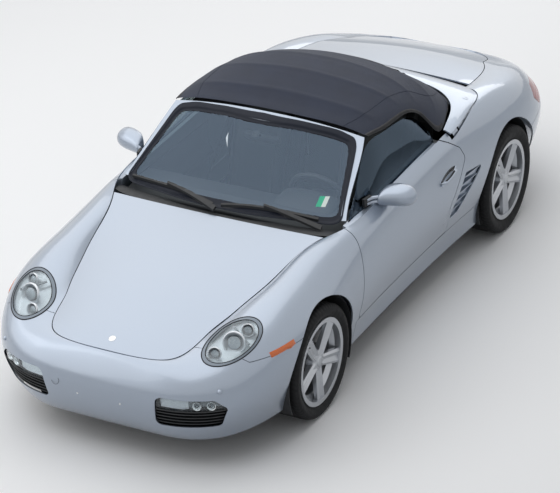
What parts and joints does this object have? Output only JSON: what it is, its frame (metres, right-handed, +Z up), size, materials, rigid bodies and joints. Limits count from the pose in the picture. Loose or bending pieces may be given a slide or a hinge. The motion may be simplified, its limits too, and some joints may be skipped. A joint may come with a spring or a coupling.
{
  "type": "two-seat convertible car",
  "caption": "Mid-engined two-seat convertible car with fabric roof closed, opening doors, hood, lid and roof cover, steered front wheels.",
  "frame": {"origin": "on the ground at mid-length and mid-width", "axes": "+X forwards, +Y to the car's left, +Z up"},
  "size_m": [4.3306, 1.92, 1.2957],
  "materials": {
    "silver_paint": "metallic clear-coated silver paint",
    "clear_glass": "tinted safety glass",
    "black_plastic": "moulded black plastic",
    "grey_plastic": "grained dark grey trim",
    "roof_fabric": "woven acrylic roof cloth, very dark blue-black",
    "lamp_chrome": "bright vacuum-metallised reflector",
    "red_lens": "clear red moulded lens",
    "underbody_coat": "dark sprayed underbody coat",
    "black_leather": "black grained leather",
    "steel": "bright steel tube",
    "cast_metal": "machined cast metal",
    "tyre_rubber": "black tyre rubber",
    "wheel_alloy": "silver painted cast alloy"
  },
  "bodies": {
    "body_shell": {"front_bumper": "silver_paint", "front_fenders": "silver_paint", "rear_quarters": "silver_paint", "rear_bumper": "silver_paint", "side_sills": "silver_paint", "windshield_frame": "silver_paint", "windshield_glass": "clear_glass", "cowl_panel": "black_plastic", "soft_top": "roof_fabric", "rear_window": "clear_glass", "headlamp_lenses": "clear_glass", "headlamp_housings": "lamp_chrome", "front_grilles": "black_plastic", "tail_lamps": "red_lens", "side_intakes": "silver_paint", "dashboard": "grey_plastic", "centre_console": "grey_plastic", "floor_and_walls": "underbody_coat", "luggage_wells": "black_plastic", "wheelhouses": "black_plastic", "seat_shells": "black_plastic", "seat_cushions": "black_leather", "seat_backrests": "black_leather", "roll_hoops": "steel", "engine": "cast_metal", "rear_knuckles": "cast_metal", "bumper_lamps": "clear_glass", "wipers": "black_plastic", "suspension_arms": "cast_metal", "exhaust_pipe": "steel"},
    "hood": {"hood": "silver_paint"},
    "trunk_lid": {"trunk_lid": "silver_paint"},
    "top_cover": {"top_cover": "silver_paint"},
    "rear_spoiler": {"rear_spoiler": "silver_paint"},
    "steering_wheel": {"steering_wheel": "black_leather"},
    "door_left": {"door_left": "silver_paint", "door_glass_left": "clear_glass", "mirror_left": "silver_paint", "door_handle_left": "silver_paint"},
    "knuckle_front_left": {"knuckle_front_left": "cast_metal"},
    "wheel_front_left": {"tyre_front_left": "tyre_rubber", "rim_front_left": "wheel_alloy", "brake_disc_front_left": "cast_metal"},
    "wheel_rear_left": {"tyre_rear_left": "tyre_rubber", "rim_rear_left": "wheel_alloy", "brake_disc_rear_left": "cast_metal"},
    "door_right": {"door_right": "silver_paint", "door_glass_right": "clear_glass", "mirror_right": "silver_paint", "door_handle_right": "silver_paint"},
    "knuckle_front_right": {"knuckle_front_right": "cast_metal"},
    "wheel_front_right": {"tyre_front_right": "tyre_rubber", "rim_front_right": "wheel_alloy", "brake_disc_front_right": "cast_metal"},
    "wheel_rear_right": {"tyre_rear_right": "tyre_rubber", "rim_rear_right": "wheel_alloy", "brake_disc_rear_right": "cast_metal"}
  },
  "joints": [
    {"name": "door_left_hinge", "type": "hinge", "parent": "body_shell", "child": "door_left", "pos_m": [0.683, 0.815, 0.6], "axis": [0.118, 0, -0.993], "range_deg": [0, 65]},
    {"name": "steer_left", "type": "hinge", "parent": "body_shell", "child": "knuckle_front_left", "pos_m": [1.2445, 0.725, 0.3225], "axis": [0, 0, 1], "range_deg": [-33, 33]},
    {"name": "wheel_front_left_spin", "type": "hinge", "parent": "knuckle_front_left", "child": "wheel_front_left", "pos_m": [1.2445, 0.74, 0.3225], "axis": [0, 1, 0], "continuous": true},
    {"name": "wheel_rear_left_spin", "type": "hinge", "parent": "body_shell", "child": "wheel_rear_left", "pos_m": [-1.1705, 0.757, 0.3345], "axis": [0, 1, 0], "continuous": true},
    {"name": "door_right_hinge", "type": "hinge", "parent": "body_shell", "child": "door_right", "pos_m": [0.683, -0.815, 0.6], "axis": [-0.118, 0, 0.993], "range_deg": [0, 65]},
    {"name": "steer_right", "type": "hinge", "parent": "body_shell", "child": "knuckle_front_right", "pos_m": [1.2445, -0.725, 0.3225], "axis": [0, 0, 1], "range_deg": [-33, 33]},
    {"name": "wheel_front_right_spin", "type": "hinge", "parent": "knuckle_front_right", "child": "wheel_front_right", "pos_m": [1.2445, -0.74, 0.3225], "axis": [0, 1, 0], "continuous": true},
    {"name": "wheel_rear_right_spin", "type": "hinge", "parent": "body_shell", "child": "wheel_rear_right", "pos_m": [-1.1705, -0.757, 0.3345], "axis": [0, 1, 0], "continuous": true},
    {"name": "hood_hinge", "type": "hinge", "parent": "body_shell", "child": "hood", "pos_m": [0.835, 0, 0.853], "axis": [0, -1, 0], "range_deg": [0, 50]},
    {"name": "trunk_lid_hinge", "type": "hinge", "parent": "body_shell", "child": "trunk_lid", "pos_m": [-1.157, 0, 0.95], "axis": [0, 1, 0], "range_deg": [0, 55]},
    {"name": "top_cover_hinge", "type": "hinge", "parent": "body_shell", "child": "top_cover", "pos_m": [-1.14, 0, 0.955], "axis": [0, -1, 0], "range_deg": [0, 45]},
    {"name": "rear_spoiler_slide", "type": "slide", "parent": "body_shell", "child": "rear_spoiler", "axis": [0, 0, 1], "range_m": [0, 0.08]},
    {"name": "steering_wheel_turn", "type": "hinge", "parent": "body_shell", "child": "steering_wheel", "pos_m": [0.29, 0.36, 0.77], "axis": [-0.9243, 0, 0.3818], "range_deg": [-480, 480]}
  ],
  "couplings": [
    {"joint": "steer_right", "follows": "steer_left", "ratio": 1},
    {"joint": "steering_wheel_turn", "follows": "steer_left", "ratio": 14}
  ]
}
